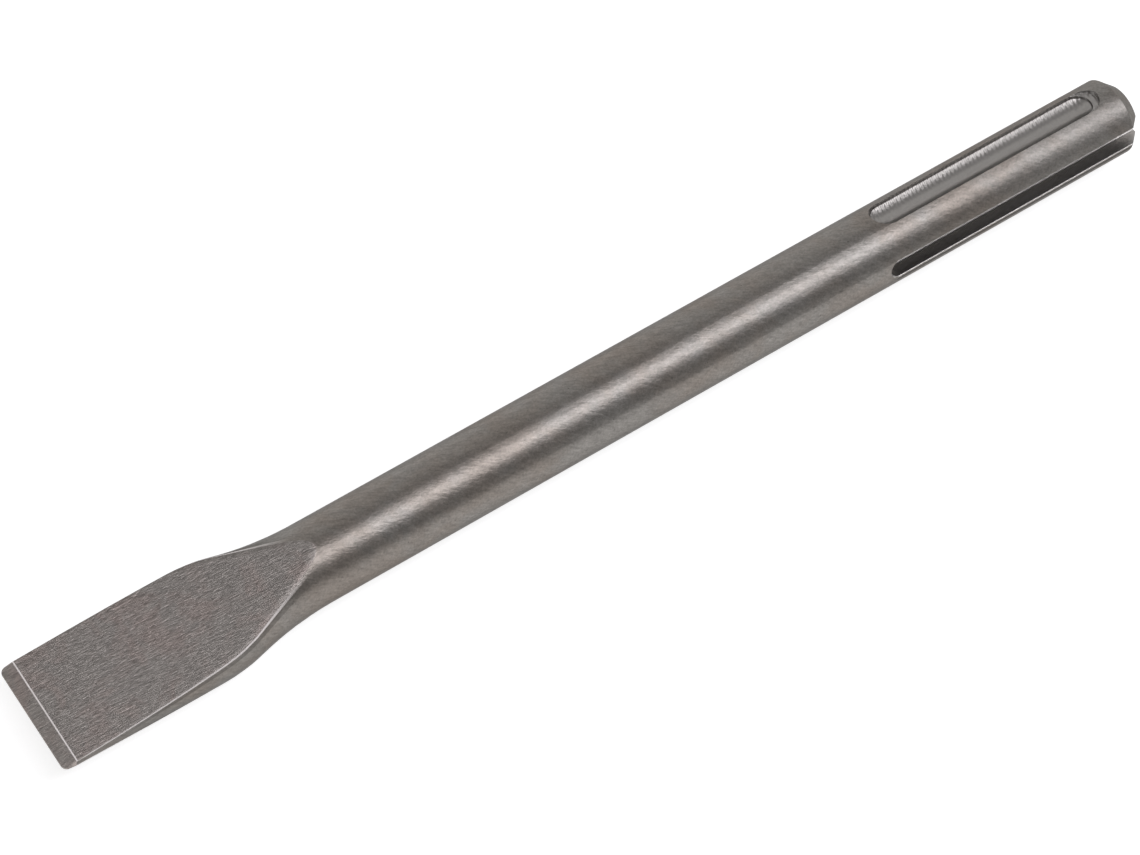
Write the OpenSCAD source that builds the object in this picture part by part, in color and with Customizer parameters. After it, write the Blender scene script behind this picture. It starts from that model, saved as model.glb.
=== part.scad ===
// Flat hammer chisel, forged and ground from one bar of tool steel.
// Origin: centre of the strike face, the flat end that the hammer hits.
// The tool lies along -X, so +X points out of the shank end; the cutting edge is at x = -tool_len.
// +Z is the normal of the upper ground face. Sizes are in millimetres, angles in degrees.
// Angles round the shank are measured from +Z towards +Y.

/* [Whole tool] */
// Length from the cutting edge to the strike face
tool_len = 280; // [220:5:600]
// Diameter of the shank and of the shaft behind the blade
shank_d = 18; // [17:0.5:20]

/* [Blade] */
// Width of the blade
blade_w = 25; // [22:1:30]
// Length of the blade at its full width, from the cutting edge
blade_len = 38; // [30:1:60]
// Length over which the shaft widens into the blade
flare_len = 28; // [20:1:40]
// Radius of the blade's shoulders, seen from above
shoulder_r = 40; // [20:1:60]
// Radius of the large wheel that hollows the two ground faces
grind_r = 800; // [500:50:3000]
// How far from the cutting edge the ground faces run out of the round shaft
runout_len = 66; // [60:1:75]

/* [Cutting edge] */
// Thickness of the blade where the bevels start
bevel_t = 2.6; // [1.6:0.1:4]
// Length of the two bevels
bevel_len = 3.0; // [2:0.1:6]
// Width of the flat land left along the edge
land_t = 0.2; // [0.1:0.05:0.5]
// Radius of the two corners of the edge, seen from above
corner_r = 1.2; // [0.4:0.1:3]

/* [Strike end] */
// Diameter of the flat strike face
strike_d = 12.5; // [10:0.5:14]
// Length of the cone between the strike face and the shank
cone_len = 3.1; // [1.5:0.1:5]

/* [Locking grooves] */
// Angle of the first locking groove; the second is opposite
lock_angle = 21; // [-45:1:45]
// Distance from the strike face to the near end of a locking groove
lock_start = 6.4; // [6:0.1:10]
// Length of a locking groove along its crest
lock_len = 62.8; // [50:0.1:75]
// Width of a locking groove at the foot of its walls
lock_w = 6.7; // [5:0.1:7]
// Depth of a locking groove in its middle
lock_depth = 2.2; // [1.5:0.1:3]
// Height of the walls' foot above the lowest line of the hollow floor
lock_hollow = 0.7; // [0.3:0.1:1]
// Lean of the walls, outwards from square
lock_draft = 20; // [5:1:35]
// Length of the shelf at the end near the strike face
shelf_len = 1.8; // [1:0.1:4]
// Depth of that shelf
shelf_depth = 0.9; // [0.5:0.1:1.3]

/* [Drive grooves] */
// Distance from the strike face to the closed end of the drive grooves
drive_len = 70.5; // [60:0.5:85]
// Width of the wide drive groove, a quarter turn from the locking grooves
wide_w = 4.6; // [4:0.1:6]
// Depth of the wide drive groove
wide_depth = 4.3; // [2.5:0.1:4.6]
// Width of each of the two narrow drive grooves
narrow_w = 4.0; // [3:0.1:4.6]
// Depth of the two narrow drive grooves
narrow_depth = 2.8; // [2:0.1:3.2]
// Angle between a narrow groove and the line opposite the wide groove
narrow_spread = 30; // [26:1:36]
// Radius at the foot of the drive groove walls
foot_r = 0.7; // [0.2:0.1:1]
// Width of the bevel along the rims of the drive grooves
rim_bevel = 0.5; // [0.1:0.05:0.8]

/* [Hidden] */

shaft_r = shank_d / 2;
blade_r = blade_w / 2;
strike_r = strike_d / 2;

// Places along the axis
edge_x = -tool_len;
bevel_x = edge_x + bevel_len;
flare_x = edge_x + blade_len;
shaft_x = flare_x + flare_len;
runout_x = edge_x + runout_len;

// The flare is a convex shoulder arc that meets a concave arc on one tangent
flare_angle = 2 * atan((blade_r - shaft_r) / flare_len);
hollow_r = flare_len / sin(flare_angle) - shoulder_r;
meet_x = flare_x + shoulder_r * sin(flare_angle);

// The grinding wheel's circle passes through the bevel's start and through the run-out
chord_x = runout_x - bevel_x;
chord_z = shaft_r - bevel_t / 2;
chord_len = sqrt(chord_x * chord_x + chord_z * chord_z);
chord_rise = sqrt(grind_r * grind_r - chord_len * chord_len / 4);
wheel_x = (bevel_x + runout_x) / 2 - chord_rise * chord_z / chord_len;
wheel_z = (bevel_t / 2 + shaft_r) / 2 + chord_rise * chord_x / chord_len;

// Heights above the axis inside a groove
lock_foot = shaft_r - lock_depth + lock_hollow;
lock_floor_r = (lock_w * lock_w / 4 + lock_hollow * lock_hollow) / (2 * lock_hollow);
// The shelf's walls stand this far inside the groove's
shelf_inset = 0.1;

// Cutters reach this far past the surfaces that they cut
reach = 1;
round_fn = 96;
wheel_fn = 1440;

// Half-width of a leaning groove wall at a height above the axis
function lock_half(v) = lock_w / 2 + (v - lock_foot) * tan(lock_draft);

// Outline of the forged blank, radius across and place along the axis up
module blank_outline() {
    // round shaft and strike end, which runs on inside the flare
    polygon([
        [0, flare_x], [shaft_r, flare_x], [shaft_r, -cone_len], [strike_r, 0], [0, 0]
    ]);
    // concave arc from the shaft up to the shoulder
    difference() {
        translate([0, meet_x]) square([blade_r, shaft_x - meet_x]);
        translate([shaft_r + hollow_r, shaft_x]) circle(hollow_r, $fn = 4 * round_fn);
    }
    // convex shoulder arc
    intersection() {
        translate([0, flare_x]) square([blade_r, meet_x - flare_x]);
        translate([blade_r - shoulder_r, flare_x]) circle(shoulder_r, $fn = 4 * round_fn);
    }
    // full width of the blade, with its two corners rounded
    translate([0, edge_x + corner_r]) square([blade_r, blade_len - corner_r]);
    translate([0, edge_x]) square([blade_r - corner_r, corner_r]);
    intersection() {
        translate([blade_r - corner_r, edge_x]) square(corner_r);
        translate([blade_r - corner_r, edge_x + corner_r]) circle(corner_r, $fn = round_fn);
    }
}

module blank() {
    rotate([0, 90, 0]) rotate_extrude($fn = 2 * round_fn) blank_outline();
}

// What the wheel and the bevel grinding take off above the blade
module ground_off() {
    translate([wheel_x, 0, wheel_z]) rotate([90, 0, 0])
        cylinder(r = grind_r, h = blade_w + 2 * reach, center = true, $fn = wheel_fn);
    bevel_rise = (bevel_t - land_t) / 2;
    rotate([90, 0, 0]) linear_extrude(blade_w + 2 * reach, center = true)
        polygon([
            [edge_x - reach, land_t / 2 - reach * bevel_rise / bevel_len],
            [bevel_x + reach, bevel_t / 2 + reach * bevel_rise / bevel_len],
            [bevel_x + reach, blade_r + reach],
            [edge_x - reach, blade_r + reach]
        ]);
}

// Half of a locking groove's section down to a flat floor, with leaning walls
module lock_half_section(floor_v, inset = 0) {
    top_v = shaft_r + reach;
    polygon([
        [0, floor_v], [lock_half(floor_v) - inset, floor_v],
        [lock_half(top_v) - inset, top_v], [0, top_v]
    ]);
}

// The same with the hollow floor of the full depth
module lock_full_section() {
    floor_v = shaft_r - lock_depth;
    intersection() {
        lock_half_section(floor_v);
        translate([0, floor_v + lock_floor_r]) circle(lock_floor_r, $fn = 2 * round_fn);
    }
}

// Half of a drive groove's section, with a rounded foot and a bevelled rim
module drive_half_section(w, depth) {
    half = w / 2;
    floor_v = shaft_r - depth;
    top_v = shaft_r + reach;
    rim_v = sqrt(shaft_r * shaft_r - half * half) - rim_bevel / 2;
    polygon([
        [0, floor_v], [half - foot_r, floor_v], [half, floor_v + foot_r],
        [half, rim_v], [half + top_v - rim_v, top_v], [0, top_v]
    ]);
    translate([half - foot_r, floor_v + foot_r]) circle(foot_r, $fn = round_fn);
}

// A straight slot whose half section is the child, with a round end at x_in
module slot(x_in, x_out) {
    translate([x_in, 0, 0]) {
        rotate([90, 0, 90]) linear_extrude(x_out - x_in) {
            children();
            mirror([1, 0]) children();
        }
        rotate_extrude($fn = round_fn) children();
    }
}

// The same with a round end at x_out too
module closed_slot(x_in, x_out) {
    slot(x_in, x_out) children();
    translate([x_out, 0, 0]) rotate_extrude($fn = round_fn) children();
}

// Closed groove that the chuck's locking body slides in, with a shelf near the strike face
module locking_groove() {
    crest_half = lock_half(shaft_r);
    x_in = -lock_start - lock_len + crest_half;
    shelf_out = -lock_start - crest_half;
    x_out = shelf_out - shelf_len;
    closed_slot(x_in, x_out) lock_full_section();
    closed_slot(x_out - shelf_len, shelf_out) lock_half_section(shaft_r - shelf_depth, shelf_inset);
}

// Open groove that a drive key of the chuck slides in from the strike end
module drive_groove(w, depth) {
    slot(-drive_len + w / 2, reach) drive_half_section(w, depth);
}

// Turns a cutter from the top of the shank to an angle round it
module at_angle(a) {
    rotate([-a, 0, 0]) children();
}

module chisel() {
    color([0.46, 0.45, 0.44]) difference() {
        blank();
        ground_off();
        mirror([0, 0, 1]) ground_off();
        for (side = [0, 180]) at_angle(lock_angle + side) locking_groove();
        at_angle(lock_angle - 90) drive_groove(wide_w, wide_depth);
        for (side = [-1, 1]) at_angle(lock_angle + 90 + side * narrow_spread)
            drive_groove(narrow_w, narrow_depth);
    }
}

chisel();
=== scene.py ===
import math

import bpy
from mathutils import Matrix, Vector

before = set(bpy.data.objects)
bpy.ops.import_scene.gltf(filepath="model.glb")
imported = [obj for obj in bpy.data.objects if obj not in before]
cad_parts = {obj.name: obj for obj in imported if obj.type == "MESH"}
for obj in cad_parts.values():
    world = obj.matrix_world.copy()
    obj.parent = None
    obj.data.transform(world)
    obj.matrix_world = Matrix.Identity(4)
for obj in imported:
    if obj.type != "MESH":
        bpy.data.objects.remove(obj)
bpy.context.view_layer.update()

# The camera, worked out from the photograph with the tool's real size
CAMERA_EYE = Vector((-0.4162, -0.2476, 0.7059))
CAMERA_TARGET = Vector((-0.1505, -0.0016, -0.0005))
CAMERA_ROLL = 14.51      # degrees
CAMERA_LENS = 119.1      # mm on a 36 mm wide frame

FLOOR_Z = -0.009
FLOOR_HALF = 3.0

# The tool's own sizes in millimetres, repeated from the part's source
TOOL_LEN = 280.0
SHAFT_R = 9.0
STRIKE_R = 6.25
CONE_LEN = 3.1
BEVEL_X = -277.0
BEVEL_HALF_T = 1.3
RUNOUT_X = -214.0
GRIND_R = 800.0
LOCK_ANGLE = math.radians(21)
LOCK_ENDS = (-69.2, -6.4)
LOCK_HALF = 4.3
LOCK_FLOOR = 6.8
DRIVE_END = -71.5

# Steel, and the painted highlight and painted shade on it, as linear colours
STEEL = (0.262, 0.248, 0.232, 1)
STEEL_BROWN = (0.250, 0.222, 0.198, 1)
STEEL_GROUND = (0.290, 0.266, 0.250, 1)
GROUND_BROWN = (0.302, 0.258, 0.240, 1)
MILLED_STEEL = (0.350, 0.334, 0.320, 1)
# Near-black for the pits, also used as painted shade in the grooves and under the ground face's rim
SOOT_AND_PAINTED_SHADE = (0.050, 0.046, 0.043, 1)
# Black painted shadow for the drive groove's upper flank
PAINTED_BLACK_SHADE = (0.006, 0.006, 0.006, 1)
# Pale bare steel of the drive groove's inside, also used as painted light on the lower bevel and the
# locking groove's far wall
BARE_STEEL_AND_LIGHT = (0.50, 0.48, 0.46, 1)
# Near-white painted highlight for the bevel's crest and the ground face's rim
PAINTED_HIGHLIGHT = (0.95, 0.89, 0.87, 1)
EDGE_TINT = (0.45, 0.45, 0.45, 1)

# Studio
WORLD_LEVEL = 0.305
FLOOR_GLOW = 0.75
BACKDROP_GLOW = 0.95
BACKDROP_TOP = 0.5
FLOOR_COLOUR = (0.5, 0.5, 0.5, 1)


def camera():
    data = bpy.data.cameras.new("camera")
    data.sensor_width = 36.0
    data.lens = CAMERA_LENS
    data.clip_start = 0.05
    data.clip_end = 20.0
    cam = bpy.data.objects.new("camera", data)
    bpy.context.scene.collection.objects.link(cam)
    forward = (CAMERA_TARGET - CAMERA_EYE).normalized()
    right = forward.cross(Vector((0, 0, 1))).normalized()
    up = right.cross(forward)
    turn = math.radians(CAMERA_ROLL)
    right_rolled = right * math.cos(turn) + up * math.sin(turn)
    up_rolled = up * math.cos(turn) - right * math.sin(turn)
    rotation = Matrix((right_rolled, up_rolled, -forward)).transposed()
    cam.matrix_world = Matrix.Translation(CAMERA_EYE) @ rotation.to_4x4()
    bpy.context.scene.camera = cam


class Graph:
    """A material's node tree, with short calls for the nodes used here."""

    def __init__(self, tree):
        self.tree = tree

    def node(self, kind, **settings):
        made = self.tree.nodes.new(kind)
        for name, value in settings.items():
            setattr(made, name, value)
        return made

    def put(self, socket, value):
        if isinstance(value, bpy.types.NodeSocket):
            self.tree.links.new(value, socket)
        else:
            socket.default_value = value

    def math(self, operation, a, b=0.0, c=0.0):
        made = self.node("ShaderNodeMath", operation=operation)
        for socket, value in zip(made.inputs, (a, b, c)):
            self.put(socket, value)
        return made.outputs[0]

    def combine(self, x, y, z):
        made = self.node("ShaderNodeCombineXYZ")
        for socket, value in zip(made.inputs, (x, y, z)):
            self.put(socket, value)
        return made.outputs[0]

    def step(self, value, low, high, to_low=0.0, to_high=1.0):
        """A smooth ramp of a value between two places."""
        made = self.node("ShaderNodeMapRange", interpolation_type="SMOOTHSTEP")
        for name, v in (("Value", value), ("From Min", low), ("From Max", high),
                        ("To Min", to_low), ("To Max", to_high)):
            self.put(made.inputs[name], v)
        return made.outputs["Result"]

    def between(self, value, low, high, soft):
        inside = self.step(value, low - soft, low + soft)
        outside = self.step(value, high - soft, high + soft)
        return self.math("SUBTRACT", inside, outside)

    def noise(self, place, scale, detail=3.0, rough=0.55, warp=0.0):
        made = self.node("ShaderNodeTexNoise")
        for name, v in (("Vector", place), ("Scale", scale), ("Detail", detail),
                        ("Roughness", rough), ("Distortion", warp)):
            self.put(made.inputs[name], v)
        return made.outputs["Fac"]

    def mix(self, share, a, b):
        made = self.node("ShaderNodeMix", data_type="RGBA")
        for name, v in (("Factor_Float", share), ("A_Color", a), ("B_Color", b)):
            socket = next(s for s in made.inputs if s.identifier == name)
            self.put(socket, v)
        return next(s for s in made.outputs if s.identifier == "Result_Color")

    def scale(self, colour, factor):
        made = self.node("ShaderNodeVectorMath", operation="SCALE")
        self.put(made.inputs[0], colour)
        self.put(made.inputs["Scale"], factor)
        return made.outputs[0]

    def blend(self, share, a, b):
        """A number that goes from a to b as share goes from 0 to 1."""
        made = self.node("ShaderNodeMix", data_type="FLOAT")
        for name, v in (("Factor_Float", share), ("A_Float", a), ("B_Float", b)):
            socket = next(s for s in made.inputs if s.identifier == name)
            self.put(socket, v)
        return next(s for s in made.outputs if s.identifier == "Result_Float")


def wheel_circle():
    """Centre of the grinding wheel's circle beside the blade, in millimetres."""
    chord_x = RUNOUT_X - BEVEL_X
    chord_z = SHAFT_R - BEVEL_HALF_T
    chord = math.hypot(chord_x, chord_z)
    rise = math.sqrt(GRIND_R ** 2 - chord ** 2 / 4)
    return (
        (BEVEL_X + RUNOUT_X) / 2 - rise * chord_z / chord,
        (BEVEL_HALF_T + SHAFT_R) / 2 + rise * chord_x / chord,
    )


def steel():
    mat = bpy.data.materials.new("tool_steel")
    mat.use_nodes = True
    g = Graph(mat.node_tree)
    bsdf = mat.node_tree.nodes["Principled BSDF"]
    place = g.node("ShaderNodeTexCoord").outputs["Object"]
    split = g.node("ShaderNodeSeparateXYZ")
    g.put(split.inputs[0], place)
    x, y, z = (g.math("MULTIPLY", out, 1000.0) for out in split.outputs)
    height = g.math("ABSOLUTE", z)
    radius = g.math("SQRT", g.math("ADD", g.math("MULTIPLY", y, y), g.math("MULTIPLY", z, z)))
    arc = g.math("MULTIPLY", g.math("ARCTAN2", y, z), SHAFT_R)
    mm = g.combine(x, y, z)

    # The two hollow ground faces and the bevels
    wheel_x, wheel_z = wheel_circle()
    from_wheel = g.math("SUBTRACT", x, wheel_x)
    drop = g.math("SQRT", g.math("SUBTRACT", GRIND_R ** 2, g.math("MULTIPLY", from_wheel, from_wheel)))
    above = g.math("SUBTRACT", height, g.math("SUBTRACT", wheel_z, drop))
    ground = g.step(above, -0.14, -0.02)
    bevel = g.step(x, BEVEL_X - 0.05, BEVEL_X + 0.05, 1.0, 0.0)

    # The bevel's crest with a painted highlight, and a painted highlight line and a painted shade band
    # under the ground face's rim
    crest_highlight = g.between(x, BEVEL_X - 0.07, BEVEL_X + 0.22, 0.06)
    crest_highlight = g.math("MULTIPLY", crest_highlight, g.step(above, -0.40, -0.20))
    past_bevel = g.step(x, BEVEL_X, BEVEL_X + 4.0, 0.35, 1.0)
    past_bevel = g.math("MULTIPLY", past_bevel, g.step(x, BEVEL_X - 0.05, BEVEL_X + 0.05))
    rim_run = g.math("MULTIPLY", past_bevel, g.step(x, -234.0, -216.0, 1.0, 0.0))
    rim_highlight = g.math("MULTIPLY", rim_run, g.between(above, -0.52, -0.06, 0.05))
    # Painted shade: a dark band just under the ground face's rim, where the rounded edge turns away from
    # the light
    rim_shade = g.math("MULTIPLY", g.between(above, -1.7, -0.58, 0.10), g.between(x, -264.0, -222.0, 8.0))

    # The inside of the grooves, below the shaft's own wall or the cone's
    cone = g.math("MULTIPLY_ADD", x, -(SHAFT_R - STRIKE_R) / CONE_LEN, STRIKE_R)
    wall = g.math("MINIMUM", cone, SHAFT_R)
    inside = g.step(g.math("SUBTRACT", wall, radius), 0.05, 0.12)
    in_shank = g.step(x, DRIVE_END - 2, DRIVE_END - 1)
    inside = g.math("MULTIPLY", inside, in_shank)
    up_y = g.math("MULTIPLY", y, math.sin(LOCK_ANGLE))
    lock_v = g.math("MULTIPLY_ADD", z, math.cos(LOCK_ANGLE), up_y)
    across_y = g.math("MULTIPLY", y, math.cos(LOCK_ANGLE))
    lock_u = g.math("MULTIPLY_ADD", z, -math.sin(LOCK_ANGLE), across_y)
    near_lock = g.step(g.math("ABSOLUTE", lock_u), LOCK_HALF - 0.1, LOCK_HALF + 0.1, 1.0, 0.0)
    near_lock = g.math("MULTIPLY", near_lock, g.step(g.math("ABSOLUTE", lock_v), 6.0, 6.2))
    lock = g.math("MULTIPLY", inside, near_lock)
    lock = g.math("MULTIPLY", lock, g.between(x, LOCK_ENDS[0], LOCK_ENDS[1], 0.4))
    drive = g.math("MULTIPLY", inside, g.math("SUBTRACT", 1.0, lock))
    far_side = g.math("MULTIPLY", lock_u, g.math("SIGN", lock_v))
    # Painted light: the locking groove's far wall is drawn in pale steel so it shows as a light band
    lock_wall_light = g.math("MULTIPLY", lock, g.step(far_side, 3.37, 3.42))
    # Painted shade: a dark line in the corner between the locking groove's far wall and its floor
    lock_foot_shade = g.math("MULTIPLY", lock, g.between(far_side, 3.24, 3.36, 0.04))
    wide = g.step(g.math("ABSOLUTE", lock_v), 3.6, 3.7, 1.0, 0.0)
    wide = g.math("MULTIPLY", wide, g.step(lock_u, -4.2, -4.0, 1.0, 0.0))
    # Painted shadow: the drive groove's upper flank, which the upper wall shades, is drawn black
    upper_flank_shadow = g.math("MULTIPLY", wide, g.step(lock_v, 1.95, 2.1))
    upper_flank_shadow = g.math("MULTIPLY", upper_flank_shadow, drive)
    # Painted shade: a dark line outside the drive groove's lower rim, where the surface turns away from
    # the light
    lower_rim_shade = g.math("MULTIPLY", wide, g.between(lock_v, -3.55, -2.86, 0.06))
    lower_rim_shade = g.math("MULTIPLY", lower_rim_shade, g.step(x, DRIVE_END + 2, DRIVE_END + 3))
    # Painted highlight: the drive groove's lower bevel is drawn in pale steel so it shows as a bright
    # band
    lower_bevel_highlight = g.math("MULTIPLY", wide, g.between(lock_v, -2.84, -2.28, 0.04))
    lower_bevel_highlight = g.math("MULTIPLY", lower_bevel_highlight, g.step(lock_u, -7.9, -7.8, 1.0, 0.0))
    lower_bevel_highlight = g.math("MULTIPLY", lower_bevel_highlight, drive)
    # Painted shade over the drive groove's upper half, which lies in its upper wall's shadow
    upper_half_shadow = g.math("MULTIPLY", drive, g.math("MULTIPLY", wide, g.step(lock_v, -0.6, 0.8)))

    # Mottling, stains and pits
    cloud = g.noise(mm, 0.055, 4.0, 0.6, 0.4)
    stain = g.noise(mm, 0.11, 3.0, 0.6, 0.8)
    grain = g.noise(mm, 1.9, 3.0, 0.7)
    mottle = g.noise(mm, 0.75, 3.0, 0.6)
    pits = g.step(g.noise(mm, 1.5, 1.0, 0.4), 0.77, 0.82)

    # Grinding lines on the blade, nearly lengthwise, and finer ones round the shaft
    lean = math.radians(6)
    along = g.math("MULTIPLY_ADD", y, -math.sin(lean), g.math("MULTIPLY", x, math.cos(lean)))
    over = g.math("MULTIPLY_ADD", y, math.cos(lean), g.math("MULTIPLY", x, math.sin(lean)))
    line_place = g.combine(g.math("MULTIPLY", along, 0.16), over, 0.0)
    fine_lines = g.noise(line_place, 4.2, 3.0, 0.7, 0.3)
    broad_lines = g.noise(line_place, 1.9, 3.0, 0.65, 0.4)
    slant = g.math("MULTIPLY_ADD", arc, -0.7, x)
    slant_over = g.math("MULTIPLY_ADD", x, 0.7, arc)
    scratch_place = g.combine(g.math("MULTIPLY", slant, 0.22), slant_over, radius)
    scratches = g.noise(scratch_place, 1.5, 4.0, 0.7)

    # Milling ribs in the locking grooves
    rib_x = g.math("MULTIPLY_ADD", far_side, -0.28, x)
    rib = g.math("SINE", g.math("MULTIPLY_ADD", rib_x, math.tau / 1.05, g.math("MULTIPLY", mottle, 2.6)))
    rib = g.math("MULTIPLY", rib, g.step(far_side, -1.0, 2.2, 0.22, 1.0))

    # Colour
    colour = g.mix(g.step(cloud, 0.38, 0.68), STEEL, STEEL_BROWN)
    colour = g.mix(g.step(stain, 0.58, 0.75, 0.0, 0.55), colour, STEEL_BROWN)
    face_colour = g.mix(g.step(stain, 0.42, 0.66), STEEL_GROUND, GROUND_BROWN)
    tone = g.math("ADD", g.math("MULTIPLY", g.math("SUBTRACT", grain, 0.5), 0.9),
                  g.math("MULTIPLY", g.math("SUBTRACT", scratches, 0.5), 0.9))
    line_tone = g.math("ADD", g.math("MULTIPLY", g.math("SUBTRACT", fine_lines, 0.5), 1.7),
                       g.math("MULTIPLY", g.math("SUBTRACT", broad_lines, 0.5), 1.0))
    flat = g.math("MAXIMUM", ground, bevel)
    colour = g.mix(flat, colour, face_colour)
    tone = g.blend(flat, tone, line_tone)
    shade = g.math("ADD", 1.0, tone)
    colour = g.scale(colour, shade)
    colour = g.mix(g.math("MULTIPLY", pits, 0.6), colour, SOOT_AND_PAINTED_SHADE)
    colour = g.mix(lock, colour, MILLED_STEEL)
    colour = g.mix(drive, colour, BARE_STEEL_AND_LIGHT)
    # Painted shade in the upper half of the drive groove
    colour = g.mix(g.math("MULTIPLY", upper_half_shadow, 0.85), colour, SOOT_AND_PAINTED_SHADE)
    # Painted light on the locking groove's far wall
    colour = g.mix(lock_wall_light, colour, BARE_STEEL_AND_LIGHT)
    # Painted shade at the foot of the locking groove's far wall
    colour = g.mix(g.math("MULTIPLY", lock_foot_shade, 0.4), colour, SOOT_AND_PAINTED_SHADE)
    # Painted shadow on the drive groove's upper flank
    colour = g.mix(upper_flank_shadow, colour, PAINTED_BLACK_SHADE)
    # Painted highlight on the drive groove's lower bevel
    colour = g.mix(lower_bevel_highlight, colour, BARE_STEEL_AND_LIGHT)
    # Painted shade below the drive groove's lower rim
    colour = g.mix(g.math("MULTIPLY", lower_rim_shade, 0.7), colour, SOOT_AND_PAINTED_SHADE)
    colour = g.scale(colour, g.blend(bevel, 1.0, 1.55))
    # Painted shade under the ground face's rim
    colour = g.mix(g.math("MULTIPLY", rim_shade, 0.45), colour, SOOT_AND_PAINTED_SHADE)
    # Painted highlight: the bevel's crest and the line under the ground face's rim are drawn near white
    edge_highlight = g.math("MAXIMUM", crest_highlight, rim_highlight)
    colour = g.mix(edge_highlight, colour, PAINTED_HIGHLIGHT)
    g.put(bsdf.inputs["Base Color"], colour)
    # The painted highlights and the painted black shade in the drive groove are drawn non-metallic
    painted_light_nonmetal = g.math("MAXIMUM", upper_flank_shadow, g.math("MULTIPLY", edge_highlight, 0.9))
    g.put(bsdf.inputs["Metallic"], g.math("SUBTRACT", 1.0, painted_light_nonmetal))

    rough = g.blend(flat, 0.345, 0.36)
    rough = g.math("ADD", rough, g.step(x, DRIVE_END - 8, DRIVE_END + 40, 0.0, 0.07))
    rough = g.blend(lock, rough, 0.33)
    rough = g.math("MULTIPLY_ADD", g.math("SUBTRACT", mottle, 0.5), 0.16, rough)
    g.put(bsdf.inputs["Roughness"], rough)
    g.put(bsdf.inputs["Specular Tint"], EDGE_TINT)

    # Relief in millimetres: blasted grain on the shaft, lines on the blade, ribs in the grooves
    relief = g.math("MULTIPLY_ADD", grain, 0.034, g.math("MULTIPLY", scratches, 0.062))
    relief = g.math("MULTIPLY_ADD", mottle, 0.050, relief)
    relief = g.math("MULTIPLY", relief, g.blend(lock, 1.0, 0.5))
    line_relief = g.math("MULTIPLY_ADD", broad_lines, 0.085, g.math("MULTIPLY", fine_lines, 0.080))
    line_relief = g.math("MULTIPLY_ADD", grain, 0.030, line_relief)
    relief = g.blend(flat, relief, line_relief)
    relief = g.math("MULTIPLY_ADD", g.math("MULTIPLY", rib, lock), 0.050, relief)
    bowl = g.math("MULTIPLY", g.math("MULTIPLY", lock_u, lock_u), lock)
    relief = g.math("MULTIPLY_ADD", bowl, 0.055, relief)
    edges = g.node("ShaderNodeBevel", samples=6)
    rounding = g.blend(g.between(x, -238.0, -205.0, 8.0), 0.00045, 0.0020)
    rounding = g.blend(g.step(x, -80.0, -76.0), rounding, 0.00016)
    g.put(edges.inputs["Radius"], rounding)
    bump = g.node("ShaderNodeBump")
    g.put(bump.inputs["Strength"], 1.0)
    g.put(bump.inputs["Distance"], 0.001)
    g.put(bump.inputs["Height"], relief)
    g.put(bump.inputs["Normal"], edges.outputs[0])
    g.put(bsdf.inputs["Normal"], bump.outputs[0])
    return mat


def white_paint(name, glow):
    """Pale paint that takes the shadow and looks white to camera, glossy and transmission rays."""
    mat = bpy.data.materials.new(name)
    mat.use_nodes = True
    g = Graph(mat.node_tree)
    out = mat.node_tree.nodes["Material Output"]
    mat.node_tree.nodes.remove(mat.node_tree.nodes["Principled BSDF"])
    path = g.node("ShaderNodeLightPath")
    seen = g.math("MAXIMUM", path.outputs["Is Camera Ray"], path.outputs["Is Glossy Ray"])
    seen = g.math("MAXIMUM", seen, path.outputs["Is Transmission Ray"])
    shine = g.node("ShaderNodeEmission")
    g.put(shine.inputs["Strength"], g.math("MULTIPLY", seen, glow))
    paint = g.node("ShaderNodeBsdfDiffuse")
    g.put(paint.inputs["Color"], FLOOR_COLOUR)
    both = g.node("ShaderNodeAddShader")
    g.put(both.inputs[0], shine.outputs[0])
    g.put(both.inputs[1], paint.outputs[0])
    g.put(out.inputs["Surface"], both.outputs[0])
    return mat


def staged(name, points, faces, mat):
    mesh = bpy.data.meshes.new(name)
    mesh.from_pydata(points, [], faces)
    mesh.materials.append(mat)
    obj = bpy.data.objects.new(name, mesh)
    bpy.context.scene.collection.objects.link(obj)


def floor():
    s = FLOOR_HALF
    low = [(-s, -s, FLOOR_Z), (s, -s, FLOOR_Z), (s, s, FLOOR_Z), (-s, s, FLOOR_Z)]
    high = [(px, py, BACKDROP_TOP) for px, py, _ in low]
    walls = [(i, (i + 1) % 4, (i + 1) % 4 + 4, i + 4) for i in range(4)]
    staged("floor", low, [(0, 1, 2, 3)], white_paint("floor_white", FLOOR_GLOW))
    staged("backdrop", low + high, walls, white_paint("backdrop_white", BACKDROP_GLOW))


def softbox(name, place, aim, size, level, colour=(1, 1, 1)):
    """A rectangular lamp of a given brightness, turned towards a point."""
    data = bpy.data.lights.new(name, "AREA")
    data.shape = "RECTANGLE"
    data.size, data.size_y = size
    data.energy = level * math.pi * size[0] * size[1]
    data.color = colour
    lamp = bpy.data.objects.new(name, data)
    bpy.context.scene.collection.objects.link(lamp)
    back = (Vector(place) - Vector(aim)).normalized()
    side = (Vector((1, 0, 0)) - back * back.x).normalized()
    turned = Matrix((side, back.cross(side), back)).transposed()
    lamp.matrix_world = Matrix.Translation(place) @ turned.to_4x4()


def lights():
    world = bpy.data.worlds.new("world")
    bpy.context.scene.world = world
    world.use_nodes = True
    g = Graph(world.node_tree)
    g.put(world.node_tree.nodes["Background"].inputs["Color"], (1, 1, 1, 1))
    g.put(world.node_tree.nodes["Background"].inputs["Strength"], WORLD_LEVEL)
    softbox("lamp_top", (0.26, -0.30, 1.2), (-0.14, 0, 0), (1.9, 0.47), 3.6, (0.965, 0.96, 1.0))
    softbox("lamp_back", (0.2, 0.95, 0.62), (-0.14, 0, 0), (2.0, 0.7), 0.44)


camera()
floor()
lights()
tool_steel = steel()
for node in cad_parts.values():
    for s in node.material_slots:
        s.material = tool_steel

bpy.context.scene.view_settings.view_transform = "Standard"
